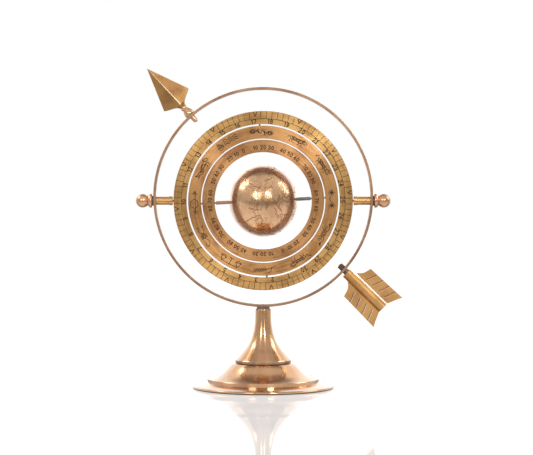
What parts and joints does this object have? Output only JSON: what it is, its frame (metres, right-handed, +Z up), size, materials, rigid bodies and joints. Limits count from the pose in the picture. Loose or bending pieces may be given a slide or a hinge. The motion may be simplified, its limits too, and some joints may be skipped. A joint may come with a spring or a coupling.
{
  "type": "armillary sphere",
  "caption": "Desk armillary sphere: an arrow-crossed hoop on a flared stem and round foot, holding nested engraved rings that gimbal around a small globe.",
  "frame": {"origin": "centre of the resting face of the round foot, on the stem's axis", "axes": "+Z up along the stem, -Y towards the front of the hoop, the arrow's head points to -X and +Z"},
  "size_m": [0.2432, 0.1288, 0.2909],
  "materials": {
    "antique_brass": "brushed, aged, with dark engraving",
    "antique_copper": "brushed, aged copper colour",
    "polished_copper": "polished and lacquered",
    "arrow_brass": "cast, filed and brushed",
    "blackened_steel": "blackened",
    "steel": "drawn rod",
    "felt": "dark felt"
  },
  "bodies": {
    "stand": {"felt_pad": "felt", "base_dish": "polished_copper", "stem": "polished_copper", "tie_rod": "steel", "base_washer": "blackened_steel", "base_nut": "blackened_steel", "hoop_seat_washer": "blackened_steel", "hoop": "antique_copper", "left_finial": "polished_copper", "right_finial": "polished_copper", "left_finial_washer": "blackened_steel", "right_finial_washer": "blackened_steel", "left_spacer": "arrow_brass", "right_spacer": "arrow_brass", "left_pivot_stud": "steel", "right_pivot_stud": "steel", "arrow_head": "arrow_brass", "head_ferrule": "polished_copper", "head_rivet": "polished_copper", "arrow_tail": "arrow_brass", "tail_stud": "steel", "tail_washer": "blackened_steel", "tail_nut": "blackened_steel"},
    "outer_gimbal": {"outer_ring": "antique_brass", "upper_ring_pin": "blackened_steel", "lower_ring_pin": "blackened_steel"},
    "middle_gimbal": {"middle_ring": "antique_brass"},
    "inner_gimbal": {"inner_ring": "antique_copper", "axle_rod": "steel"},
    "globe": {"globe_left_shell": "polished_copper", "globe_right_shell": "polished_copper", "left_axle_sleeve": "antique_copper", "right_axle_sleeve": "antique_copper"}
  },
  "joints": [
    {"name": "outer_ring_turn", "type": "hinge", "parent": "stand", "child": "outer_gimbal", "pos_m": [0, 0, 0.1705], "axis": [1, 0, 0], "continuous": true},
    {"name": "middle_ring_turn", "type": "hinge", "parent": "outer_gimbal", "child": "middle_gimbal", "pos_m": [0, 0, 0.1705], "axis": [-0.0471, 0, 0.9989], "continuous": true},
    {"name": "inner_ring_turn", "type": "hinge", "parent": "middle_gimbal", "child": "inner_gimbal", "pos_m": [0, 0, 0.1705], "axis": [0.9989, 0, 0.0471], "continuous": true},
    {"name": "globe_turn", "type": "hinge", "parent": "inner_gimbal", "child": "globe", "pos_m": [0, 0, 0.1705], "axis": [0.9989, 0, 0.0471], "continuous": true}
  ]
}
